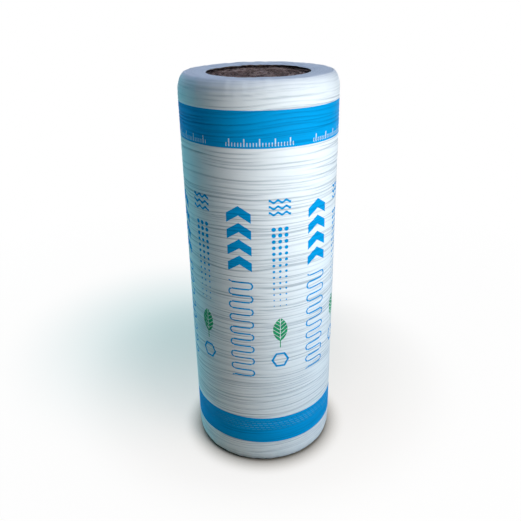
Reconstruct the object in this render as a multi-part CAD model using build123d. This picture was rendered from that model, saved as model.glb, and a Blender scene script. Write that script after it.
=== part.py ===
from build123d import *
import math
import os

os.makedirs("parts", exist_ok=True)

# Driving dimensions, in millimetres
# The whole roll, standing on one end
roll_height = 1200.0
roll_diameter = 450.0

# The printed film, wrapped round the side and turned in over both ends
film_thickness = 1.5
top_shoulder_height = 52.0
top_shoulder_depth = 22.0
base_shoulder_height = 40.0
base_shoulder_depth = 20.0
shoulder_flat_width = 10.0
shoulder_flat_height = 6.0
collar_width = 80.0
lip_width = 25.0
lip_drop = 3.5

# The wool mat, wound up on itself
turn_pitch = 20.0
groove_width = 12.0
groove_depth = 4.0
wool_recess = 10.0
eye_radius = 4.0

# Worked out from the dimensions above
roll_radius = roll_diameter / 2
opening_radius = roll_radius - collar_width
seat_radius = opening_radius + lip_width
half_pitch = turn_pitch / 2
centre_shift = half_pitch / 2


# Each end is drawn in (radius, height), with the plane it could rest on at height 0
def at_top(edges):
    """An end's outline, raised to the top of the roll."""
    return [Pos(0, roll_height) * edge for edge in edges]


def at_base(edges):
    """An end's outline, turned over to face the floor."""
    return [edge.mirror(Plane.XZ) for edge in edges]


def through(*points):
    """Straight edges from each point to the next."""
    return [Line(start, end) for start, end in zip(points, points[1:])]


def shoulder(depth, height):
    """The film's outer edge: an arc that leaves the side, and a flat up to the level seat."""
    foot = (roll_radius, -height)
    bend = (roll_radius - depth + shoulder_flat_width, -shoulder_flat_height)
    crest = (roll_radius - depth, 0)
    return TangentArc(foot, bend, tangent=(0, 1)), Line(bend, crest)


def crushed_edge(arc, flat):
    """The wool's edge under a shoulder, crushed in flats at least one film's thickness inside it."""
    points = []
    for share in (0, 0.5, 1):
        along = arc % share
        outwards = Vector(along.Y, -along.X)
        points.append(arc @ share - outwards * film_thickness)
    points.append(flat @ 1 - Vector(0, film_thickness))
    return through(*points)


def turned(sketch, degrees=360, centre_x=0.0):
    """A solid turned about a vertical axis, from a sketch whose radii count from that axis."""
    return Pos(centre_x, 0, 0) * revolve(Plane.XZ * sketch, Axis.Z, revolution_arc=degrees)


def film_end(depth, height):
    """One end of the sleeve, out along its shoulder, level seat and sagging lip, and back inside them."""
    arc, flat = shoulder(depth, height)
    inside = crushed_edge(arc, flat)
    outer = [arc, flat] + through(flat @ 1, (seat_radius, 0), (opening_radius, -lip_drop))
    inner = inside + through(
        inside[-1] @ 1,
        (seat_radius, -film_thickness),
        (opening_radius, -film_thickness - lip_drop),
    )
    return outer + inner + through(outer[-1] @ 1, inner[-1] @ 1)


def film_wrap():
    """The film sleeve: one skin, open at both ends."""
    top = at_top(film_end(top_shoulder_depth, top_shoulder_height))
    base = at_base(film_end(base_shoulder_depth, base_shoulder_height))
    sides = [
        Line((radius, base_shoulder_height), (radius, roll_height - top_shoulder_height))
        for radius in (roll_radius, roll_radius - film_thickness)
    ]
    return turned(make_face(Curve() + top + base + sides))


def wool_end(depth, height):
    """One end of the wool: crushed at its edge, level under the collar, and stepped down inside it."""
    arc, flat = shoulder(depth, height)
    edge = crushed_edge(arc, flat)
    return edge + through(
        edge[-1] @ 1,
        (seat_radius, -film_thickness),
        (seat_radius, -wool_recess),
        (0, -wool_recess),
    )


def wool_body():
    """The wound wool with plain ends, which fills the film."""
    top = at_top(wool_end(top_shoulder_depth, top_shoulder_height))
    base = at_base(wool_end(base_shoulder_depth, base_shoulder_height))
    side_and_axis = [Line(base[0] @ 0, top[0] @ 0), Line(base[-1] @ 1, top[-1] @ 1)]
    return turned(make_face(Curve() + top + base + side_and_axis))


def half_grooves(first_radius, degrees, centre_x):
    """Half of each groove between turns: a row of V sections, one turn apart, turned half round.

    Each section is mirrored above height 0, so that the groove serves both ends.
    """
    sections = Sketch()
    count = math.ceil((seat_radius + turn_pitch - first_radius) / turn_pitch)
    for k in range(count):
        bottom = first_radius + k * turn_pitch
        corners = [
            (bottom - groove_width / 2, 0),
            (bottom, -groove_depth),
            (bottom + groove_width / 2, 0),
            (bottom, groove_depth),
        ]
        sections += Polygon(*corners, align=None)
    return turned(sections, degrees, centre_x)


def winding_groove():
    """The groove between the turns, with the wool's end at height 0.

    It starts at the mat's leading edge. Its two halves are turned about centres
    half a pitch apart, so that they join up into one spiral.
    """
    near = half_grooves(eye_radius + half_pitch, -180, -centre_shift)
    far = half_grooves(eye_radius + turn_pitch, 180, centre_shift)
    return (near + far) & Cylinder(seat_radius, 4 * groove_depth)


def eye():
    """The hole left at the heart of the winding, between the first turn and the mat's leading edge."""
    hole = Part()
    for radius, degrees, centre_x in (
        (eye_radius, 180, centre_shift),
        (eye_radius + half_pitch, -180, -centre_shift),
    ):
        half_section = Pos(radius / 2, roll_height / 2) * Rectangle(radius, roll_height)
        hole += turned(half_section, degrees, centre_x)
    return hole


def wool_roll():
    """The mat, wound from its leading edge outwards, as one solid with its turns on both ends."""
    groove = winding_groove()
    top_groove = Pos(0, 0, roll_height - wool_recess) * groove
    base_groove = Pos(0, 0, wool_recess) * groove
    return wool_body() - top_groove - base_groove - eye()


export_step(film_wrap(), "parts/film_wrap.step")
export_step(wool_roll(), "parts/wool_roll.step")
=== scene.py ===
# %% [markdown]
# # A roll of glass wool insulation, standing on its end
#
# The object is one mat of brown glass wool, 1.2 m wide, squeezed and wound up
# on itself, in a tight sleeve of white printed polyethylene film. The film is
# turned in over both ends as a collar, and the wool shows in the open middle.
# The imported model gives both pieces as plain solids. This script dresses them:
# the creased film with its print, and the wound ends of the wool with loose fibres.

import functools
import math

import bpy
import numpy as np
from mathutils import Matrix, Vector


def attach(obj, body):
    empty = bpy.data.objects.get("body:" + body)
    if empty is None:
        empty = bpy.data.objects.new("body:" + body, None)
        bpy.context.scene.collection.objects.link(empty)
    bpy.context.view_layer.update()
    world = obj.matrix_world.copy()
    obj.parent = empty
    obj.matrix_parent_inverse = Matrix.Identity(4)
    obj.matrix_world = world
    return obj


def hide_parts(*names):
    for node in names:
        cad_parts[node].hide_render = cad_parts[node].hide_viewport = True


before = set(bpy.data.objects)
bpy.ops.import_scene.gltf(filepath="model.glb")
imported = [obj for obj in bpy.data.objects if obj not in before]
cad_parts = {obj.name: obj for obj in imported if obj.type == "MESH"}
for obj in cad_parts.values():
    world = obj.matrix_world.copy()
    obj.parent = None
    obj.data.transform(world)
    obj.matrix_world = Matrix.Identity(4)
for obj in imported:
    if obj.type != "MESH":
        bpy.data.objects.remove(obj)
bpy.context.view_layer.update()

# %% [markdown]
# ## The sizes that everything shares
#
# All sizes are in millimetres, as on a drawing, and become metres only when a
# mesh is made. The side, the two rounded shoulders and the flat collars are the
# outline of the film from one opening to the other.

# %% Sizes in millimetres
ROLL_RADIUS = 225.0
ROLL_HEIGHT = 1200.0
OPENING_RADIUS = 145.0
SEAT_RADIUS = 170.0
TOP_SHOULDER = (22.4, 51.8)
BASE_SHOULDER = (17.0, 37.0)
LIP_DROP = 3.5
WOOL_RECESS = 10.0
TURN_PITCH = 20.0
FIRST_TURN = 9.0
MM = 0.001

CIRCUMFERENCE = 2 * math.pi * ROLL_RADIUS

# %% [markdown]
# ## Smooth random fields
#
# Creases, dents and lumps all start as a smooth random field. A coarse grid of
# random numbers is read between its points with an S-shaped weight, so the
# field has no corners. Around the roll the grid wraps, so that no seam shows.

# %% Smooth random fields
def smooth_field(around, along, cells_around, cell_along, seed):
    """Random heights from -1 to 1: around counts turns and wraps at 1, and along is in mm.

    The grid has cells_around cells round the roll, each cell_along mm long. The
    weight between two of its points is 6 t^5 - 15 t^4 + 10 t^3.
    """
    rng = np.random.default_rng(seed)
    x = around * cells_around
    y = along / cell_along
    y = y - math.floor(y.min())
    table = rng.uniform(-1, 1, (int(y.max()) + 3, cells_around))
    i, j = np.floor(y).astype(int), np.floor(x).astype(int)
    fy, fx = y - i, x - j
    fy, fx = fy**3 * (fy * (6 * fy - 15) + 10), fx**3 * (fx * (6 * fx - 15) + 10)
    j0, j1 = j % cells_around, (j + 1) % cells_around
    low = table[i, j0] * (1 - fx) + table[i, j1] * fx
    high = table[i + 1, j0] * (1 - fx) + table[i + 1, j1] * fx
    return low * (1 - fy) + high * fy


def rise(value, start, end):
    """0 before start, 1 after end, and an S-shaped step between."""
    share = np.clip((value - start) / (end - start), 0, 1)
    return share * share * (3 - 2 * share)


# %% [markdown]
# ## Meshes from whole arrays
#
# Both pieces are turned shapes: rings of points, one under the other. A ring
# with twice as many points can meet a plain ring, which lets the pleated
# collar be finer than the long side. Every face keeps its own UV corners, so
# the picture coordinate can jump from 1 to 0 at the back while the mesh stays closed.

# %% Meshes from whole arrays
def ring_faces(first, heights, count):
    """Four-sided faces between neighbouring rings of count points, with (turn, height) at each corner."""
    rows = len(heights)
    i, j = np.meshgrid(np.arange(rows - 1), np.arange(count), indexing="ij")
    i, j = i.ravel(), j.ravel()
    after = (j + 1) % count
    corners = [i * count + j, (i + 1) * count + j, (i + 1) * count + after, i * count + after]
    faces = first + np.stack(corners, 1)
    turns = np.stack([j, j, j + 1, j + 1], 1) / count
    levels = np.stack([heights[i], heights[i + 1], heights[i + 1], heights[i]], 1)
    return faces, np.stack([turns, levels], 2)


def joint_faces(upper, upper_height, upper_count, lower, lower_height, lower_count):
    """Faces between two rings, where one may have twice the points of the other."""
    if upper_count == lower_count:
        j = np.arange(upper_count)
        after = (j + 1) % upper_count
        faces = np.stack([upper + j, lower + j, lower + after, upper + after], 1)
        turns = np.stack([j, j, j + 1, j + 1], 1) / upper_count
        levels = np.broadcast_to([upper_height, lower_height, lower_height, upper_height], turns.shape)
        return faces, np.stack([turns, levels], 2)
    count = min(upper_count, lower_count)
    j = np.arange(count)
    fine = [2 * j, 2 * j + 1, (2 * j + 2) % (2 * count)]
    coarse = [j, (j + 1) % count]
    if upper_count > lower_count:
        corners = [
            (upper + fine[0], lower + coarse[0], upper + fine[1]),
            (upper + fine[1], lower + coarse[0], lower + coarse[1]),
            (upper + fine[1], lower + coarse[1], upper + fine[2]),
        ]
        turns = [(2 * j, 2 * j, 2 * j + 1), (2 * j + 1, 2 * j, 2 * j + 2), (2 * j + 1, 2 * j + 2, 2 * j + 2)]
        levels = [(0, 1, 0), (0, 1, 1), (0, 1, 0)]
    else:
        corners = [
            (upper + coarse[0], lower + fine[0], lower + fine[1]),
            (upper + coarse[0], lower + fine[1], upper + coarse[1]),
            (upper + coarse[1], lower + fine[1], lower + fine[2]),
        ]
        turns = [(2 * j, 2 * j, 2 * j + 1), (2 * j, 2 * j + 1, 2 * j + 2), (2 * j + 2, 2 * j + 1, 2 * j + 2)]
        levels = [(0, 1, 1), (0, 1, 0), (0, 1, 1)]
    faces = np.concatenate([np.stack(c, 1) for c in corners])
    turn = np.concatenate([np.stack(t, 1) for t in turns]) / (2 * count)
    both = np.array([upper_height, lower_height])
    level = np.concatenate([np.tile(both[list(pick)], (count, 1)) for pick in levels])
    return faces, np.stack([turn, level], 2)


def make_piece(name, points, blocks, material, marks=()):
    """A smooth mesh object at the origin from points in mm and blocks of (faces, corner UVs).

    marks are (name, one number per point), which the material can read.
    """
    mesh = bpy.data.meshes.new(name)
    mesh.vertices.add(len(points))
    mesh.vertices.foreach_set("co", (points * MM).ravel())
    sizes = np.concatenate([np.full(len(f), f.shape[1]) for f, _ in blocks])
    corners = np.concatenate([f.ravel() for f, _ in blocks])
    mesh.loops.add(len(corners))
    mesh.loops.foreach_set("vertex_index", corners.astype(np.int32))
    mesh.polygons.add(len(sizes))
    mesh.polygons.foreach_set("loop_start", (np.cumsum(sizes) - sizes).astype(np.int32))
    uv = mesh.uv_layers.new(name="wrap")
    uv.data.foreach_set("uv", np.concatenate([u.reshape(-1, 2) for _, u in blocks]).ravel())
    for mark, values in marks:
        layer = mesh.attributes.new(mark, "FLOAT", "POINT")
        layer.data.foreach_set("value", values.ravel().astype(np.float32))
    mesh.update(calc_edges=True)
    mesh.shade_smooth()
    mesh.materials.append(material)
    piece = bpy.data.objects.new(name, mesh)
    bpy.context.collection.objects.link(piece)
    triangles = int((sizes - 2).sum())
    print(name, "points", len(points), "triangles", triangles)
    return piece


# %% [markdown]
# ## Colours and nodes
#
# Colours are written as the hex values that a paint program shows, and one
# function turns them to the linear values that the renderer adds up. One other
# function adds a node and wires it, so that a material reads like a formula.

# %% Colours and nodes
def linear(hex_colour):
    """The linear RGBA of an sRGB hex colour.

    A channel up to 0.04045 is divided by 12.92. Any other has 0.055 added, is
    divided by 1.055 and is raised to the power 2.4.
    """
    channels = [int(hex_colour[i : i + 2], 16) / 255 for i in (1, 3, 5)]
    return tuple(c / 12.92 if c <= 0.04045 else ((c + 0.055) / 1.055) ** 2.4 for c in channels) + (1.0,)


def node(tree, kind, *values, named=None, out=0, **settings):
    """Adds the node ShaderNode + kind, with its operation after a dot, and gives back one of its outputs.

    values fill its inputs in order, and named fills them by name or number. Each
    is a constant, None, or an output to link.
    """
    kind, _, operation = kind.partition(".")
    added = tree.nodes.new("ShaderNode" + kind)
    if operation:
        added.operation = operation
    for setting, value in settings.items():
        setattr(added, setting, value)
    for socket, value in [*enumerate(values), *(named or {}).items()]:
        if isinstance(value, bpy.types.NodeSocket):
            tree.links.new(value, added.inputs[socket])
        elif value is not None:
            added.inputs[socket].default_value = value
    return added.outputs[out] if len(added.outputs) else None


def new_material(name):
    """An empty material and its node tree."""
    material = bpy.data.materials.new(name)
    material.use_nodes = True
    material.node_tree.nodes.clear()
    return material, material.node_tree


# %% [markdown]
# ## The film's outline
#
# Cut the roll down its middle and the film is one line: from the lip of the top
# opening over the level seat, round the shoulder, down the side, and the same
# at the base. The shoulders are quarter ellipses, taller than they are deep,
# because the film pulls the soft edge of the wool inwards. The line is drawn
# finely first and then read at even steps of its own length.

# %% The film's outline
def film_outline():
    """Length, radius, height and outward direction along the smooth film, from top lip to base lip.

    A lip sags by the square of its distance from the seat, and a shoulder is a
    quarter ellipse. The outward direction is the line's own, turned a quarter.
    """
    sag = np.linspace(1, 0, 30)
    lip_radius = SEAT_RADIUS - sag * (SEAT_RADIUS - OPENING_RADIUS)
    turn = np.linspace(math.pi / 2, 0, 60)
    top_depth, top_height = TOP_SHOULDER
    base_depth, base_height = BASE_SHOULDER
    side = np.linspace(ROLL_HEIGHT - top_height, base_height, 400)[1:-1]
    radius = np.concatenate([
        lip_radius,
        ROLL_RADIUS - top_depth + top_depth * np.cos(turn),
        np.full(len(side), ROLL_RADIUS),
        ROLL_RADIUS - base_depth + base_depth * np.cos(turn[::-1]),
        lip_radius[::-1],
    ])
    height = np.concatenate([
        ROLL_HEIGHT - LIP_DROP * sag**2,
        ROLL_HEIGHT - top_height + top_height * np.sin(turn),
        side,
        base_height - base_height * np.sin(turn[::-1]),
        LIP_DROP * sag[::-1] ** 2,
    ])
    length = np.concatenate([[0], np.cumsum(np.hypot(np.diff(radius), np.diff(height)))])
    out_r, out_z = -np.gradient(height, length), np.gradient(radius, length)
    size = np.hypot(out_r, out_z)
    return length, radius, height, out_r / size, out_z / size


outline = film_outline()
FILM_LENGTH = outline[0][-1]
SIDE_START, SIDE_END = outline[0][outline[1] > ROLL_RADIUS - 1e-6][[0, -1]]
print("film length along the outline", round(FILM_LENGTH, 1))
print("side from", round(SIDE_START, 1), "to", round(SIDE_END, 1))

# %% [markdown]
# ## The creases
#
# Thin film that is pulled tight round something soft lies in long flat folds
# that run round the roll, wander a little, fade out and start again. Each fold is
# round on its back and sharp in the crease between two. Four rows of such folds,
# from fine to broad, are drawn over each other here: the same level lines, each
# row with its own sway and its own strong and faint places. On the ends the film
# has to shrink from 450 mm to 290 mm across, so there it gathers in short pleats
# that point inwards, and the level folds carry on over it more faintly. Cloth
# simulation would need far more points for lines this fine, so the shape is
# written as a formula instead.
#
# A row is its pitch, its depth, how sharp its creases are, how much of it shows
# everywhere, how much more in bundles and how much more low down, and its seed.

# %% The creases
COLLAR_SINK = 2.2
CREASE_WIDTH = 0.95
# The next two numbers are how much painted shade darkens the crease lines and the deep folds.
CREASE_LINE_SHADE = 0.95
FOLD_DEPTH_SHADE = 0.2
END_SHARE = 0.28
FOLD_MEAN = 0.6
PLEAT_DEPTH = 1.1
PLEAT_WIDTH = 0.08
CREASE_ROWS = (
    (9.6, 1.8, 1.5, 0.85, 0.0, 0.15, 21),
    (14.4, 1.4, 2.4, 0.6, 0.3, 0.0, 24),
    (29.0, 0.5, 3.2, 0.7, 0.0, -0.4, 27),
    (47.0, 1.1, 8.0, 0.2, 0.35, 0.0, 30),
)


def fold_row(around, level, pitch, seed):
    """Distance in mm from the nearest crease of a row, one every pitch, and how strong it is, 0 to 1.

    A smooth field sways the row by a few millimetres, and a second one, read at
    the swayed level, gives each crease its own strong and faint stretches.
    """
    swayed = level + (3 + 0.12 * pitch) * smooth_field(around, level, 7, 3.1 * pitch, seed)
    share = swayed / pitch
    strength = rise(smooth_field(around, swayed, 9, 0.9 * pitch, seed + 1), -0.55, 0.6)
    return np.abs(share - np.round(share)) * pitch, strength


def film_relief(around, along):
    """How far the film stands out from its outline, in mm, and how much painted shade its creases give it, 0
    to 1.

    Each row takes away depth (1 - sin(pi distance / pitch)) ^ sharpness, which is
    rounded between creases and pointed in them. That takes about 0.34 mm on
    average. FOLD_MEAN gives back 0.6 mm, chosen by the roll's width in the
    photograph, so the side stands about 0.26 mm outside the drawn radius. The top
    collar lies a little low, because the wool under it has settled.
    """
    wander = 9 * smooth_field(around, along, 5, 170, 11) + 3 * smooth_field(around, along, 11, 70, 12)
    level = along + wander + 3 * smooth_field(around * 0, along, 1, 19, 14)
    bundle = rise(smooth_field(around, along, 6, 85, 13), -0.6, 0.7)
    lower = rise(along, 300, 850)
    # smooth is what painted shade leaves of the film's colour: each crease line and each deep fold takes some
    # of it away.
    relief, smooth = 0.0, 1.0
    for pitch, depth, sharpness, everywhere, bundled, low_down, seed in CREASE_ROWS:
        share = everywhere + bundled * bundle + low_down * lower
        distance, strength = fold_row(around, level, pitch, seed)
        relief = relief - depth * share * strength * (1 - np.sin(math.pi * distance / pitch)) ** sharpness
        width = CREASE_WIDTH * (1 + pitch / 80)
        smooth = smooth * (1 - CREASE_LINE_SHADE * share * strength * np.exp(-((distance / width) ** 2)))
    smooth = smooth * (1 - FOLD_DEPTH_SHADE * np.clip(-relief / 2.5, 0, 1))
    swell = 0.5 * smooth_field(around, along, 9, 120, 31)
    from_lip = np.minimum(along, FILM_LENGTH - along)
    on_side = rise(from_lip, 70, 150)
    twist = around + 0.006 * smooth_field(around, along, 12, 50, 41)
    pleat = smooth_field(twist, along, 60, 90, 42)
    pucker = smooth_field(twist, along, 110, 60, 43)
    pinched = PLEAT_DEPTH * np.exp(-np.abs(pleat) / PLEAT_WIDTH) * rise(from_lip, 8, 40)
    gathered = 0.6 * pleat + 0.4 * pucker - pinched
    sink = COLLAR_SINK * (1 - rise(along, 50, 120))
    folded = END_SHARE + (1 - END_SHARE) * on_side
    total = (relief + swell) * folded + FOLD_MEAN * on_side + gathered * (1 - on_side) - sink
    return total, (1 - smooth) * folded


# %% [markdown]
# ## The film as one closed skin
#
# The real film is two or three plies of about 0.05 mm. Here it has an outer face
# with all the creases and an inner face, joined at both lips, so that it is a
# closed shell. It is 0.5 mm thick at the lips. Elsewhere the inner face is plain
# and lies 6 mm under, out of sight, so that no crease cuts it. The wrap starts at
# the back, where its free end laps over the first turn and shows as a low step
# from top to bottom.

# %% The film as one closed skin
SIDE_COLUMNS = 112
END_COLUMNS = 224
SIDE_STEP = 1.75
END_STEP = 2.4
LAP_WIDTH = 70.0
LAP_STEP = 0.6
LAP_RUN_UP = 300.0
LIP_THICKNESS = 0.5
HIDDEN_DEPTH = 5.6


def film_points(lengths, count, inner):
    """Rings of count points of the outer or the inner face, and how much painted crease shade each point
    gets.
    """
    along = lengths[:, None] * np.ones((1, count))
    around = np.arange(count)[None, :] / count * np.ones((len(lengths), 1))
    radius, height, out_r, out_z = (np.interp(along, outline[0], values) for values in outline[1:])
    relief, crease = film_relief(around, along)
    arc = around * CIRCUMFERENCE
    edge = LAP_WIDTH + 5 * smooth_field(around * 0, along, 1, 240, 51)
    lap = LAP_STEP * (1 - rise(arc, edge, edge + 9))
    run_up = LAP_STEP * rise(arc, CIRCUMFERENCE - LAP_RUN_UP, CIRCUMFERENCE)
    relief += lap + run_up
    from_lip = np.minimum(along, FILM_LENGTH - along)
    plain = inner * rise(from_lip, 5, 25)
    outward = relief * (1 - plain) - inner * LIP_THICKNESS - plain * HIDDEN_DEPTH
    wide_slack = smooth_field(around, along * 0, 9, 100, 52)
    short_slack = 0.3 * smooth_field(around, along * 0, 31, 100, 53)
    radius = radius + outward * out_r + (wide_slack + short_slack) * (1 - rise(from_lip, 0, 24))
    height = height + outward * out_z
    height = np.clip(height, 0, None)
    angle = 2 * math.pi * (around - 0.5) - math.pi / 2
    return np.stack([radius * np.cos(angle), radius * np.sin(angle), height, crease], 2).reshape(-1, 4)


def make_film(material):
    """Six bands of rings, stitched in a loop: collar, side and base end outside, then inside, back up."""
    near_lip = np.array([0, 5, 12, 25, 40, 55.0])
    bands = [
        (np.arange(0, SIDE_START - 2, END_STEP), END_COLUMNS, False),
        (np.arange(SIDE_START, SIDE_END, SIDE_STEP), SIDE_COLUMNS, False),
        (np.linspace(SIDE_END + END_STEP, FILM_LENGTH, 42), END_COLUMNS, False),
        (FILM_LENGTH - near_lip, END_COLUMNS, True),
        (np.linspace(FILM_LENGTH - 70, 70, 16), SIDE_COLUMNS, True),
        (near_lip[::-1], END_COLUMNS, True),
    ]
    firsts = np.cumsum([0] + [len(lengths) * count for lengths, count, _ in bands])
    points = np.concatenate([film_points(*band) for band in bands])
    blocks = []
    for i, (lengths, count, _) in enumerate(bands):
        after = (i + 1) % len(bands)
        next_lengths, next_count, _ = bands[after]
        levels = 1 - lengths / FILM_LENGTH
        last_ring = firsts[i] + (len(lengths) - 1) * count
        next_level = 1 - next_lengths[0] / FILM_LENGTH
        blocks.append(ring_faces(firsts[i], levels, count))
        blocks.append(joint_faces(last_ring, levels[-1], count, firsts[after], next_level, next_count))
    # The crease mark is the painted shade that the film's colour takes in its creases.
    return make_piece("printed_film", points[:, :3], blocks, material, marks=[("crease", points[:, 3])])


# %% [markdown]
# ## What is printed on the film
#
# The print is drawn as distances. Each shape is a number that is negative inside
# it, the smallest number wins where shapes join, the largest where one cuts
# another, and one step turns the number into ink. So every edge stays sharp at
# any size. The design is a plain one: two bands, arrow heads for the upright end,
# the drawing office's winding line for insulation, waves, dots, a cell and a leaf.
# It repeats six times round the roll.

# %% What is printed on the film
REPEAT = CIRCUMFERENCE / 6
INK_EDGE = 0.5
TOP_BAND = (1078.7, 47.4)
BASE_BAND = (129.0, 47.7)


def either(n, *distances):
    """The union of shapes: the smallest of their distances."""
    total = distances[0]
    for distance in distances[1:]:
        total = n("Math.MINIMUM", total, distance)
    return total


def common(n, *distances):
    """What shapes have in common: the largest of their distances."""
    total = distances[0]
    for distance in distances[1:]:
        total = n("Math.MAXIMUM", total, distance)
    return total


def span(n, value, centre, half):
    """Distance to a strip: how far a value lies from its centre, less half its width."""
    return n("Math.SUBTRACT", n("Math.ABSOLUTE", n("Math.SUBTRACT", value, centre)), half)


def reach(n, x, z):
    """The length of (x, z): the root of the sum of the squares."""
    return n("Math.SQRT", n("Math.ADD", n("Math.MULTIPLY", x, x), n("Math.MULTIPLY", z, z)))


def repeated(n, value, centre, pitch):
    """A value that starts again every pitch, and is 0 in the middle of each."""
    return n("Math.WRAP", n("Math.SUBTRACT", value, centre), pitch / 2, -pitch / 2)


def arrow_heads(n, x, z):
    """Four solid arrow heads that point up: strips of z + 0.62 |x|."""
    slope, pitch, half_bar = 0.62, 48.0, 13.5
    middle, half_height, half_width = 792.0, 96.0, 35.0
    slanted = n("Math.MULTIPLY_ADD", n("Math.ABSOLUTE", x), slope, z)
    bars = span(n, repeated(n, slanted, 0.0, pitch), 0.0, half_bar)
    return common(n, bars, span(n, slanted, middle, half_height), span(n, x, 0.0, half_width))


def winding_line(n, x, z):
    """A line that runs from side to side and turns back in half circles, one run every 21 mm.

    Every other run turns back on the other side, so x changes sign with it. Past
    the point where the half circle starts, the distance is to that circle.
    """
    run, turn_x, line = 21.0, 24.5, 2.4
    middle, half_height = 493.5, 163.0
    cell = n("Math.DIVIDE", z, run)
    odd = n("Math.MODULO", n("Math.FLOOR", cell), 2.0)
    sided = n("Math.MULTIPLY", x, n("Math.MULTIPLY_ADD", odd, -2.0, 1.0))
    beyond = n("Math.SUBTRACT", sided, turn_x)
    from_middle = n("Math.MULTIPLY", n("Math.SUBTRACT", n("Math.FRACT", cell), 0.5), run)
    circle = n("Math.ABSOLUTE", n("Math.SUBTRACT", reach(n, beyond, from_middle), run / 2))
    before = n("Math.MAXIMUM", n("Math.SUBTRACT", n("Math.MULTIPLY", sided, -1.0), turn_x), 0.0)
    straight = reach(n, before, n("Math.MULTIPLY", n("Math.PINGPONG", cell, 0.5), run))
    turning = n("Math.GREATER_THAN", beyond, 0.0)
    nearest = n("Mix", turning, named={2: straight, 3: circle}, data_type="FLOAT")
    return common(n, n("Math.SUBTRACT", nearest, line), span(n, z, middle, half_height))


def waves(n, x, z):
    """Three wavy strips, one over the other: z is lifted by a sine of x."""
    per_mm, swing, pitch, half_strip = 0.27, 3.2, 17.0, 3.4
    middle, half_height, half_width = 872.0, 25.5, 31.0
    lifted = n("Math.MULTIPLY_ADD", n("Math.SINE", n("Math.MULTIPLY", x, per_mm)), swing, z)
    strips = span(n, repeated(n, lifted, middle, pitch), 0.0, half_strip)
    return common(n, strips, span(n, lifted, middle, half_height), span(n, x, 0.0, half_width))


def fading_dots(n, x, z):
    """Three columns of dots, which shrink from 6.4 mm to 1.6 mm in radius as they go down."""
    pitch, smallest, largest = 18.0, 1.6, 6.4
    size = n("MapRange", z, 560.0, 810.0, smallest, largest)
    dots = n("Math.SUBTRACT", reach(n, repeated(n, x, 0.0, pitch), repeated(n, z, 0.0, pitch)), size)
    return common(n, dots, span(n, x, 0.0, 26.0), span(n, z, 693.0, 126.0))


def cell_outline(n, x, z):
    """A six-sided outline: the largest of |z| and 0.87 |x| + 0.5 |z|, taken as a strip."""
    middle, across, half_line = 392.0, 21.0, 3.2
    high = n("Math.ABSOLUTE", n("Math.SUBTRACT", z, middle))
    slanted = n("Math.MULTIPLY_ADD", n("Math.ABSOLUTE", x), 0.866, n("Math.MULTIPLY", high, 0.5))
    return span(n, common(n, slanted, high), across, half_line)


def leaf(n, x, z):
    """What two large circles have in common, with a bare rib and bare slanting veins, on a short stalk."""
    size = n("Math.ABSOLUTE", x)
    middle, circle_offset, circle_radius, vein_pitch, half_rib = 496.0, 24.0, 46.0, 13.0, 1.1
    high = n("Math.SUBTRACT", z, middle)
    blade = n("Math.SUBTRACT", reach(n, n("Math.ADD", size, circle_offset), high), circle_radius)
    slanted = n("Math.MULTIPLY_ADD", size, -0.8, z)
    vein = span(n, repeated(n, slanted, 0.0, vein_pitch), 0.0, 1.0)
    veins = n("Math.MULTIPLY", vein, -1.0)
    rib = n("Math.SUBTRACT", half_rib, size)
    stalk = common(n, span(n, x, 0.0, 1.5), span(n, z, 449.0, 14.0))
    return either(n, common(n, blade, veins, rib), stalk)


def measuring_scale(n, x, z):
    """Ticks every 8 mm along the lower edge of the top band, with a tall one every 40 mm."""
    foot = TOP_BAND[0] - TOP_BAND[1] + 5
    short = common(n, span(n, repeated(n, x, 0.0, 8.0), 0.0, 1.2), span(n, z, foot + 5, 5.0))
    tall = common(n, span(n, repeated(n, x, 0.0, 40.0), 0.0, 1.6), span(n, z, foot + 10, 10.0))
    return common(n, either(n, short, tall), span(n, repeated(n, x, 0.0, REPEAT), 0.0, 90.0))


def fine_dashes(n, x, z):
    """Rows of faint dashes, 8 mm apart, each row shifted from the last."""
    row = n("Math.FLOOR", n("Math.DIVIDE", z, 8.0))
    shifted = n("Math.MULTIPLY_ADD", row, 5.3, x)
    dash = span(n, repeated(n, shifted, 0.0, 17.0), 0.0, 6.0)
    return common(n, dash, span(n, repeated(n, z, 4.0, 8.0), 0.0, 1.1), span(n, z, 148.0, 16.0))


# %% [markdown]
# ## Printed polyethylene film
#
# The sleeve is white low-density polyethylene, blown as a thin tube, slit, and
# flexo-printed in two inks. To the eye that is a smooth white skin, flat bright
# blue and green on it, and light that breaks up along the creases. Real film has
# more gloss: here it is nearly matt, so that the white surroundings don't show in
# it as a milky edge. Shade is painted into the colour along the creases, darkest
# in the crease lines and where the folds are deep, and less under the blue ink.
# Finer tension lines than the mesh can hold are bump: long and level on the side,
# and radial on the collars. Real ones are finer still, and are drawn a few
# millimetres apart so that they show.

# %% Printed polyethylene film
CREASE_SHADE = 0.78
# How much less painted crease shade there is under the blue ink.
INK_LESSENS_SHADE = 0.30
PLEAT_LINES = 26.0


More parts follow.
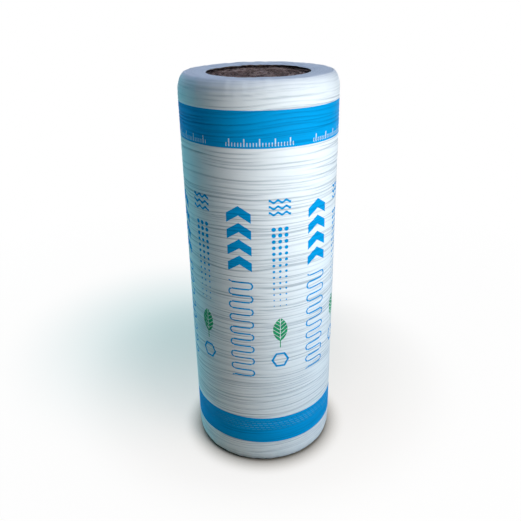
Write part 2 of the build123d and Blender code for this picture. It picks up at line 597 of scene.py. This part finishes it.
def make_film_material():
    """A principled surface: white film, inks laid over it one by one, painted shade along the creases, and
    fine tension lines as bump.
    """
    material, tree = new_material("polyethylene_film_printed")
    n = functools.partial(node, tree)

    wrap = n("UVMap", uv_map="wrap")
    turn = n("SeparateXYZ", wrap)
    level = turn.node.outputs[1]
    across = n("Math.MULTIPLY_ADD", turn, CIRCUMFERENCE, -CIRCUMFERENCE / 2)
    along = n("Math.MULTIPLY_ADD", level, -FILM_LENGTH, FILM_LENGTH)
    z = n("Math.MULTIPLY_ADD", along, -1.0, ROLL_HEIGHT - TOP_SHOULDER[1] + SIDE_START)
    wide = repeated(n, across, -62.0, REPEAT)
    narrow = repeated(n, across, 52.0, REPEAT)

    blue = either(
        n,
        span(n, z, *TOP_BAND),
        span(n, z, *BASE_BAND),
        arrow_heads(n, wide, z),
        winding_line(n, wide, z),
        waves(n, narrow, z),
        fading_dots(n, narrow, z),
        cell_outline(n, narrow, z),
    )
    inks = [
        (blue, "#049EDE", 1.0),
        (measuring_scale(n, across, z), "#E6EDF2", 0.90),
        (fine_dashes(n, across, z), "#63AEDB", 0.75),
        (leaf(n, narrow, z), "#0AA566", 0.97),
    ]
    cloudy = n("TexNoise", named={"Vector": wrap, "Scale": 45.0, "Detail": 4.0})
    colour = n("Mix", cloudy, named={6: linear("#EFF1F2"), 7: linear("#F6F7F7")}, data_type="RGBA", out=2)
    hidden = []
    for distance, ink, cover in inks:
        inside = n("Math.MULTIPLY_ADD", distance, -1 / INK_EDGE, 0.5, use_clamp=True)
        printed = n("Math.MULTIPLY", inside, cover)
        colour = n("Mix", printed, named={6: colour, 7: linear(ink)}, data_type="RGBA", out=2)
        hidden.append(printed)

    # Painted shade: the film's colour is darkened along the creases, less under the blue ink.
    crease = n("Attribute", attribute_name="crease", out=2)
    shade_under_ink = n("Math.MULTIPLY_ADD", hidden[0], -INK_LESSENS_SHADE * CREASE_SHADE, CREASE_SHADE)
    shaded = n("Math.MULTIPLY", crease, shade_under_ink)
    shade = {6: colour, 7: linear("#8793A0")}
    colour = n("Mix", shaded, named=shade, data_type="RGBA", blend_type="MULTIPLY", out=2)

    place = n("TexCoord", out=3)
    level_lines = n("Mapping", place, named={"Scale": (5.0, 5.0, 190.0)})
    tension = n("TexNoise", named={"Vector": level_lines, "Scale": 1.0, "Detail": 3.0, "Roughness": 0.6})
    angle = n("Math.MULTIPLY", turn, 2 * math.pi)
    circle_x = n("Math.MULTIPLY", n("Math.COSINE", angle), PLEAT_LINES)
    circle_y = n("Math.MULTIPLY", n("Math.SINE", angle), PLEAT_LINES)
    radial_lines = n("CombineXYZ", circle_x, circle_y, n("Math.MULTIPLY", along, 0.012))
    pleats = n("TexNoise", named={"Vector": radial_lines, "Scale": 1.0, "Detail": 3.0, "Roughness": 0.6})
    from_middle = n("Math.ABSOLUTE", n("Math.SUBTRACT", along, FILM_LENGTH / 2))
    on_end = n("MapRange", from_middle, FILM_LENGTH / 2 - 80, FILM_LENGTH / 2 - 50)
    lines = n("Mix", on_end, named={2: tension, 3: pleats}, data_type="FLOAT")
    relief = n("Bump", 0.6, 0.0022, named={"Height": lines})
    surface = n("BsdfPrincipled", named={
        "Base Color": colour,
        "Roughness": 0.52,
        "IOR": 1.51,
        "Specular IOR Level": 0.01,
        "Normal": relief,
    })
    n("OutputMaterial", surface)
    return material


film_material = make_film_material()
film = make_film(film_material)
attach(film, "root")
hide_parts("film_wrap")

# %% [markdown]
# ## Where a point lies in the wound mat
#
# The end of the roll is the edge of one long mat, wound up. Every point of the
# end has a place in that mat: how far along it from the mat's inner edge, and how
# deep in its thickness. Lumps and streaks that are drawn in the mat's own
# length and depth follow its turns, as the real fibres do.

# %% Where a point lies in the wound mat
def in_the_mat(x, y):
    """Length along the mat, depth in its thickness and number of the turn, for points of the end in mm.

    The turns lie on r = FIRST_TURN + TURN_PITCH (turn - angle / 2 pi). The length is the
    integral of that radius over the angle wound so far.
    """
    radius = np.hypot(x, y)
    angle = np.arctan2(y, x) / (2 * math.pi)
    angle = angle - np.floor(angle)
    turns = (radius - FIRST_TURN) / TURN_PITCH + angle
    turn = np.floor(turns)
    depth = (turns - turn) * TURN_PITCH
    wound = 2 * math.pi * np.clip(turn - angle + 1, 0, None)
    return FIRST_TURN * wound + TURN_PITCH * wound**2 / (4 * math.pi), depth, turn


MAT_LENGTH = 5200.0


def mat_field(x, y, length_cell, depth_cell, seed):
    """A smooth random field in the mat's own length and depth."""
    length, depth, turn = in_the_mat(x, y)
    cells = int(MAT_LENGTH / length_cell)
    return smooth_field(length / MAT_LENGTH, depth + 100 * turn, cells, depth_cell, seed)


# %% [markdown]
# ## The wound glass wool
#
# The wool is a pad of fibres that fills the sleeve. It could be a simulated
# soft body, but nothing moves it, and its ends are what shows, so it is a turned
# surface whose ends are worked out point by point: a groove between the turns,
# crushed layers, and torn pits. The collar presses its rim down, so the rim dips
# under the film's lip and leaves a dark line round the opening, made darker by
# painted shade in the wool's colour. Its side is hidden under the film and stays
# plain.

# %% The wound glass wool
WOOL_COLUMNS = 330
WOOL_STEP = 1.6
WOOL_EDGE = 163.0
WOOL_UNDER_FILM = 7.5
RIM_DIP = 8.0
WOOL_SETTLED = 2.0
EYE_DEPTH = 14.0
TOP_SEED = 70
BASE_SEED = 80


def wool_relief(x, y, seed):
    """How far the wool stands out from its level end, in mm."""
    radius = np.hypot(x, y)
    sway = 1.6 * mat_field(x, y, 60, 400, seed + 1)
    _, depth, _ = in_the_mat(x, y)
    to_joint = np.minimum(depth + sway, TURN_PITCH - depth - sway)
    joint = -4.2 * np.exp(-((to_joint / 2.4) ** 2))
    layers = 1.1 * mat_field(x, y, 22, 3.4, seed + 2) + 0.7 * mat_field(x, y, 7, 1.9, seed + 3)
    lumps = 1.7 * mat_field(x, y, 38, 14, seed + 4)
    torn = -3.2 * rise(mat_field(x, y, 17, 6.5, seed + 5), 0.25, 0.8)
    eye = -EYE_DEPTH * (1 - rise(radius, 3.0, 7.5))
    return np.clip(joint + layers + lumps + torn, -8, 3.4) + eye - WOOL_SETTLED


def make_wool(material):
    """A closed turned surface: the top end from its middle outwards, the side, and the base end back in."""
    turn = np.arange(WOOL_COLUMNS) / WOOL_COLUMNS
    cos, sin = np.cos(2 * math.pi * turn), np.sin(2 * math.pi * turn)
    end_radii = np.arange(WOOL_STEP, WOOL_EDGE, WOOL_STEP)
    x, y = end_radii[:, None] * cos, end_radii[:, None] * sin
    fade = 1 - rise(end_radii, WOOL_EDGE - 12, WOOL_EDGE)[:, None]
    dip = RIM_DIP * rise(end_radii, WOOL_EDGE - 36, WOOL_EDGE - 22)[:, None]
    ends = [wool_relief(x, y, seed) * fade - dip for seed in (TOP_SEED, BASE_SEED)]
    top = np.stack([x, y, ROLL_HEIGHT - WOOL_RECESS + ends[0]], 2)
    base = np.stack([x, y, WOOL_RECESS - ends[1]], 2)[::-1]
    under_film = np.concatenate([np.linspace(27, SIDE_START, 16), np.linspace(SIDE_START, SIDE_END, 9)[1:-1]])
    under_film = np.concatenate([under_film, np.linspace(SIDE_END, FILM_LENGTH - 27, 16)])
    radius, height, out_r, out_z = (np.interp(under_film, outline[0], values) for values in outline[1:])
    radius, height = radius - WOOL_UNDER_FILM * out_r, height - WOOL_UNDER_FILM * out_z
    side = np.stack([radius[:, None] * cos, radius[:, None] * sin, height[:, None] * np.ones_like(cos)], 2)
    rings = np.concatenate([top, side, base])
    poles = np.array([[0, 0, rings[0, :, 2].mean()], [0, 0, rings[-1, :, 2].mean()]])
    points = np.concatenate([rings.reshape(-1, 3), poles])

    faces, uvs = ring_faces(0, np.linspace(1, 0, len(rings)), WOOL_COLUMNS)
    j = np.arange(WOOL_COLUMNS)
    after = (j + 1) % WOOL_COLUMNS
    pole, last = len(rings) * WOOL_COLUMNS, (len(rings) - 1) * WOOL_COLUMNS
    fans = [np.stack([pole + 0 * j, j, after], 1), np.stack([pole + 1 + 0 * j, last + after, last + j], 1)]
    blocks = [(faces, uvs)] + [(fan, np.zeros(fan.shape + (2,))) for fan in fans]
    hidden = np.zeros(side.shape[0] * side.shape[1])
    eyes = [-EYE_DEPTH, -EYE_DEPTH]
    # The stand_out mark drives painted light and shade in the wool's colour; the hidden side gets none.
    sunk = np.concatenate([ends[0].ravel(), hidden, ends[1][::-1].ravel(), eyes])
    return make_piece("wound_wool", points, blocks, material, marks=[("stand_out", sunk)])


# %% [markdown]
# ## Glass wool
#
# Glass wool is spun glass fibre, a few thousandths of a millimetre thick, stuck
# together with a brown cured binder. It shows as a dull, dark, tangled brown. Its
# colour is painted paler where the wool stands out, as light, and nearly black in
# the torn pits, between the turns and under the film's lip, as shade. It has no
# gloss of its own, only a faint sheen at a low angle. The streaks follow the
# turns, so they are read in the mat's own length and depth, worked out from the
# place on the end.

# %% Glass wool
def make_wool_material():
    """A dull brown surface, streaked along the turns, with painted shade where the mesh is sunk and painted
    light where it stands out.
    """
    material, tree = new_material("glass_wool_cured_binder")
    n = functools.partial(node, tree)
    place = n("TexCoord", out=3)
    x = n("SeparateXYZ", place)
    y, z = x.node.outputs[1], x.node.outputs[2]
    radius = n("Math.DIVIDE", reach(n, x, y), MM)
    angle = n("Math.DIVIDE", n("Math.ARCTAN2", y, x), 2 * math.pi)
    turns = n("Math.ADD", n("Math.DIVIDE", n("Math.SUBTRACT", radius, FIRST_TURN), TURN_PITCH), angle)
    turn = n("Math.FLOOR", turns)
    wound = n("Math.SUBTRACT", turn, angle)
    length = n("Math.MULTIPLY", n("Math.MULTIPLY", wound, wound), math.pi * TURN_PITCH)
    streak_x, streak_y = n("Math.MULTIPLY", length, 0.11), n("Math.MULTIPLY", radius, 0.62)
    in_mat = n("CombineXYZ", streak_x, streak_y, n("Math.MULTIPLY", z, 9.0))
    streaks = n("TexNoise", named={"Vector": in_mat, "Scale": 1.0, "Detail": 6.0, "Roughness": 0.7})
    clump_form = {"Vector": place, "Scale": 62.0, "Detail": 5.0, "Roughness": 0.65, "Distortion": 0.6}
    clumps = n("TexNoise", named=clump_form)
    mixed = n("Math.MULTIPLY_ADD", streaks, 0.55, n("Math.MULTIPLY", clumps, 0.45))
    stand_out = n("Attribute", attribute_name="stand_out", out=2)
    # Painted light and shade: the wool's colour is paler where it stands out and darker where it is sunk, in
    # pits, joints and the middle.
    lit = n("MapRange", stand_out, -6.5, 1.0, -0.18, 0.14)
    # Painted shade: the rim that dips under the film's lip is darkened further, into a dark line round the
    # opening.
    painted_shade_under_lip = n("MapRange", stand_out, -11.0, -7.0, -0.30, 0.0)
    ramp = n("ValToRGB", n("Math.ADD", n("Math.ADD", mixed, lit), painted_shade_under_lip))
    stops = ramp.node.color_ramp.elements
    places = [stops[0], stops[1], stops.new(0.4), stops.new(0.5), stops.new(0.6)]
    browns = [(0.20, "#080504"), (0.70, "#F2DCD0"), (0.36, "#2A1C16"), (0.48, "#7A5A4C"), (0.58, "#BE9C8B")]
    for stop, (position, colour) in zip(places, browns):
        stop.position, stop.color = position, linear(colour)
    fuzz = n("TexNoise", named={"Vector": in_mat, "Scale": 3.1, "Detail": 5.0, "Roughness": 0.75})
    rough = n("Math.ADD", n("Math.MULTIPLY", fuzz, 0.6), n("Math.MULTIPLY", clumps, 0.5))
    relief = n("Bump", 0.9, 0.0025, named={"Height": rough})
    surface = n("BsdfPrincipled", named={
        "Base Color": ramp,
        "Roughness": 0.92,
        "Specular IOR Level": 0.2,
        "Sheen Weight": 0.12,
        "Sheen Roughness": 0.6,
        "Normal": relief,
    })
    n("OutputMaterial", surface)
    return material


wool_material = make_wool_material()
wool = make_wool(wool_material)
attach(wool, "root")
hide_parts("wool_roll")

# %% [markdown]
# ## Loose fibres
#
# Where the mat was cut, ends of fibre stand out of it in small arcs. Hair curves
# could draw them, but a thin mesh tube goes through every exporter. Each strand
# is a three-sided tube along an arc, thicker than a real fibre so that it shows,
# laid mostly along its turn with both ends sunk in the wool.

# %% Loose fibres
STRANDS = 3300
STRAND_POINTS = 5
STRAND_TAPER = np.array([0.5, 1, 1, 1, 0.4])
FIBRE_START = 148
FIBRE_REACH = 156


def make_fibres(material):
    """All strands of both ends as one mesh: point, direction, arc and tube worked out as arrays."""
    rng = np.random.default_rng(90)
    count = 2 * STRANDS
    on_top = np.arange(count) < STRANDS
    radius = np.sqrt(rng.uniform(0.002, 1, count)) * FIBRE_START
    angle = rng.uniform(0, 2 * math.pi, count)
    heading = angle + math.pi / 2 + rng.normal(0, 0.55, count)
    length = rng.uniform(6, 22, count)
    bend = rng.normal(0, 0.05, count)
    share = np.linspace(-0.5, 0.5, STRAND_POINTS)[None, :]
    run = share * length[:, None]
    bow = bend[:, None] * (length[:, None] / 4 - run**2 / length[:, None]) * 4
    cos, sin = np.cos(heading)[:, None], np.sin(heading)[:, None]
    x = (radius * np.cos(angle))[:, None] + run * cos - bow * sin
    y = (radius * np.sin(angle))[:, None] + run * sin + bow * cos
    inside = np.minimum(1, FIBRE_REACH / np.maximum(np.hypot(x, y), 1))
    x, y = x * inside, y * inside
    wool_heights = np.where(on_top[:, None], wool_relief(x, y, TOP_SEED), wool_relief(x, y, BASE_SEED))
    ground = np.clip(wool_heights, -7, 1)
    lift = rng.uniform(0.3, 2.4, count)[:, None] * (1 - (2 * share) ** 2) - 0.35
    stand_out = np.minimum(ground.mean(1)[:, None] * 0.6 + ground * 0.4 + lift, 5.0)
    z = np.where(on_top[:, None], ROLL_HEIGHT - WOOL_RECESS + stand_out, WOOL_RECESS - stand_out)
    centre = np.stack([x, y, z], 2)

    ahead = np.gradient(centre, axis=1)
    ahead /= np.linalg.norm(ahead, axis=2, keepdims=True)
    side = np.cross(ahead, [0, 0, 1.0])
    side /= np.linalg.norm(side, axis=2, keepdims=True)
    over = np.cross(side, ahead)
    thick = rng.uniform(0.10, 0.24, count)[:, None, None, None] * STRAND_TAPER[None, :, None, None]
    corner = 2 * math.pi * np.arange(3) / 3
    ring = np.cos(corner)[:, None] * side[:, :, None] + np.sin(corner)[:, None] * over[:, :, None]
    points = (centre[:, :, None] + thick * ring).reshape(-1, 3)

    s, i, k = np.meshgrid(np.arange(count), np.arange(STRAND_POINTS - 1), np.arange(3), indexing="ij")
    s, i, k = s.ravel(), i.ravel(), k.ravel()
    here = (s * STRAND_POINTS + i) * 3
    walls = np.stack([here + k, here + 3 + k, here + 3 + (k + 1) % 3, here + (k + 1) % 3], 1)
    first = np.arange(count) * STRAND_POINTS * 3
    last = first + (STRAND_POINTS - 1) * 3
    first_caps = np.stack([first, first + 1, first + 2], 1)
    last_caps = np.stack([last + 2, last + 1, last], 1)
    caps = np.concatenate([first_caps, last_caps])
    blocks = [(faces, np.zeros(faces.shape + (2,))) for faces in (walls, caps)]
    tint = np.repeat(rng.uniform(-3.0, 1.5, count), STRAND_POINTS * 3)
    return make_piece("wool_fibres", points, blocks, material, marks=[("stand_out", tint)])


fibres = make_fibres(wool_material)
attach(fibres, "root")

# %% [markdown]
# ## Floor and background
#
# The photograph has no room, only a pale floor that fades to white. The floor is
# a large matt plane. Under and beside the roll it takes the shadow, and further
# out it turns into plain white for what is seen, straight, in a gloss or through
# something clear, so that none of that white lights the roll. How open the floor
# is to the room paints a narrow contact shadow into its colour and its white
# where the roll meets it. Behind the roll on the left the white carries a little
# painted blue-green light, as under the cool lamp.

# %% Floor and background
FADE_CENTRE = (0.0, 0.30, 0.0)
FLOOR_FADE = [
    (0.30, 0.71), (0.38, 0.74), (0.46, 0.77), (0.54, 0.82), (0.62, 0.87), (0.70, 0.93), (0.78, 0.97),
    (0.90, 0.98), (1.30, 0.985), (2.20, 1.0),
]
# The next two numbers place the painted blue-green light in the floor's white.
COOL_CENTRE = (-0.35, 0.60, 0.0)
COOL_REACH = 0.85
# How far the painted contact shadow reaches, in metres.
CONTACT_REACH = 0.07


def shows_white(n):
    """1 on rays that come straight from the camera, by way of a gloss, or through something clear."""
    path = n("LightPath")
    mirrored = n("Math.MAXIMUM", path.node.outputs["Is Glossy Ray"], path.node.outputs["Is Transmission Ray"])
    return n("Math.MAXIMUM", path, mirrored)


def make_floor():
    """A square plane, matt near the roll and white to the camera far from it.

    The share of white rises with the distance in metres from FADE_CENTRE.
    """
    half = 6.0
    corners = half * np.array([[-1, -1, 0], [1, -1, 0], [1, 1, 0], [-1, 1, 0]])
    mesh = bpy.data.meshes.new("floor")
    mesh.from_pydata(corners.tolist(), [], [(0, 1, 2, 3)])
    material, tree = new_material("studio_floor_matt")
    n = functools.partial(node, tree)
    place = n("TexCoord", out=3)
    away = n("VectorMath.DISTANCE", place, FADE_CENTRE, out=1)
    reach_out = FLOOR_FADE[-1][0]
    white_share = n("FloatCurve", 1.0, n("Math.DIVIDE", away, reach_out, use_clamp=True))
    curve = white_share.node.mapping.curves[0]
    curve.points[0].location, curve.points[1].location = (0, FLOOR_FADE[0][1]), (1, FLOOR_FADE[-1][1])
    for distance, share in FLOOR_FADE[:-1]:
        curve.points.new(distance / reach_out, share)
    white_share.node.mapping.update()
    # Painted contact shadow: where ambient occlusion finds the floor closed in, its colour darkens and its
    # white fades.
    openness = n("AmbientOcclusion", named={"Distance": CONTACT_REACH}, out=1, samples=16)
    open_share = n("MapRange", openness, 0.40, 0.97)
    seen = n("Math.MULTIPLY", n("Math.MULTIPLY", white_share, open_share), shows_white(n))
    colour = n("Mix", open_share, named={6: linear("#8A8074"), 7: linear("#FFEBD6")}, data_type="RGBA", out=2)
    matt = n("BsdfDiffuse", colour, 1.0)
    # Painted light: the floor's white is tinted blue-green behind the roll on the left, as under the cool
    # lamp.
    beside = n("VectorMath.DISTANCE", place, COOL_CENTRE, out=1)
    coolness = n("MapRange", beside, 0.0, COOL_REACH, 1.0, 0.0, interpolation_type="SMOOTHSTEP")
    pale = n("Mix", coolness, named={6: (1, 1, 1, 1), 7: linear("#C9DFE1")}, data_type="RGBA", out=2)
    white = n("Emission", pale, 1.0)
    n("OutputMaterial", n("MixShader", seen, matt, white))
    mesh.materials.append(material)
    floor = bpy.data.objects.new("floor", mesh)
    bpy.context.collection.objects.link(floor)
    return floor


floor = make_floor()


def make_world():
    """White for the camera and in reflections, and a dim even grey-blue for everything that is lit."""
    world = bpy.data.worlds.new("studio")
    bpy.context.scene.world = world
    world.use_nodes = True
    world.node_tree.nodes.clear()
    n = functools.partial(node, world.node_tree)
    dim = n("Background", linear("#BCE1FF"), 0.06)
    white = n("Background", (1, 1, 1, 1), 1.0)
    n("OutputWorld", n("MixShader", shows_white(n), dim, white))


make_world()

# %% [markdown]
# ## Light
#
# A soft lamp stands close in front on the right, level with the roll's top. It
# makes the right side bright, and because it is so near, its light falls off
# down the roll. A weaker cool one lies low at the right front, so that the foot
# doesn't go dark. A blue-green one low behind on the left draws the cool edge.
# A lamp overhead lights the collars and the shoulder, and a weak one is behind.

# %% Light
def add_lamp(name, azimuth, distance, height, width, tall, power, colour):
    """A rectangular area lamp that points at the roll.

    Azimuth 0 is in front, and counts to the right in degrees.
    """
    aim = Vector((0, 0, 0.7))
    turn = math.radians(azimuth)
    place = Vector((distance * math.sin(turn), -distance * math.cos(turn), height))
    lamp = bpy.data.lights.new(name, "AREA")
    lamp.shape = "RECTANGLE"
    lamp.size, lamp.size_y = width, tall
    lamp.energy = power
    lamp.color = linear(colour)[:3]
    holder = bpy.data.objects.new(name, lamp)
    holder.location = place
    holder.rotation_euler = (aim - place).to_track_quat("-Z", "Y").to_euler()
    bpy.context.collection.objects.link(holder)


add_lamp("key", 36, 1.05, 1.12, 0.5, 0.5, 7.8, "#F8FDFF")
add_lamp("cool_side", -115, 2.2, 0.5, 1.2, 1.2, 21, "#4CE4FF")
add_lamp("low_fill", 60, 1.35, 0.22, 0.8, 0.4, 5.8, "#B4DFFF")
add_lamp("overhead", 180, 0.02, 3.2, 1.2, 1.2, 24, "#BCD0F4")
add_lamp("back", 160, 2.4, 0.8, 1.6, 0.8, 12, "#F0F6FF")

# %% [markdown]
# ## Camera
#
# The camera stands 1.68 m in front of the roll's axis at a height of 1.39 m and
# looks 24.6 degrees down. Place, direction and lens were fitted to the edges of
# the two bands and to both sides of the roll in the photograph, and yaw and pitch
# were then adjusted.

# %% Camera
CAMERA_PLACE = (0.0, -1.681, 1.388)
CAMERA_YAW, CAMERA_PITCH, CAMERA_ROLL = (math.radians(a) for a in (-0.115, -24.600, -0.993))
FOCAL_PIXELS = 583.0
FRAME_PIXELS = 521.0


def make_camera():
    """A camera turned by yaw about Z, then by pitch, then by roll about its own axis."""
    forward = Vector((
        math.sin(CAMERA_YAW) * math.cos(CAMERA_PITCH),
        math.cos(CAMERA_YAW) * math.cos(CAMERA_PITCH),
        math.sin(CAMERA_PITCH),
    ))
    right = forward.cross(Vector((0, 0, 1))).normalized()
    up = right.cross(forward)
    cos, sin = math.cos(CAMERA_ROLL), math.sin(CAMERA_ROLL)
    rolled_right, rolled_up = cos * right + sin * up, cos * up - sin * right
    data = bpy.data.cameras.new("camera")
    data.sensor_width = 36.0
    data.lens = data.sensor_width * FOCAL_PIXELS / FRAME_PIXELS
    camera = bpy.data.objects.new("camera", data)
    turned = Matrix((rolled_right, rolled_up, -forward)).transposed().to_4x4()
    camera.matrix_world = Matrix.Translation(CAMERA_PLACE) @ turned
    bpy.context.collection.objects.link(camera)
    bpy.context.scene.camera = camera


make_camera()
bpy.context.scene.view_settings.view_transform = "Standard"
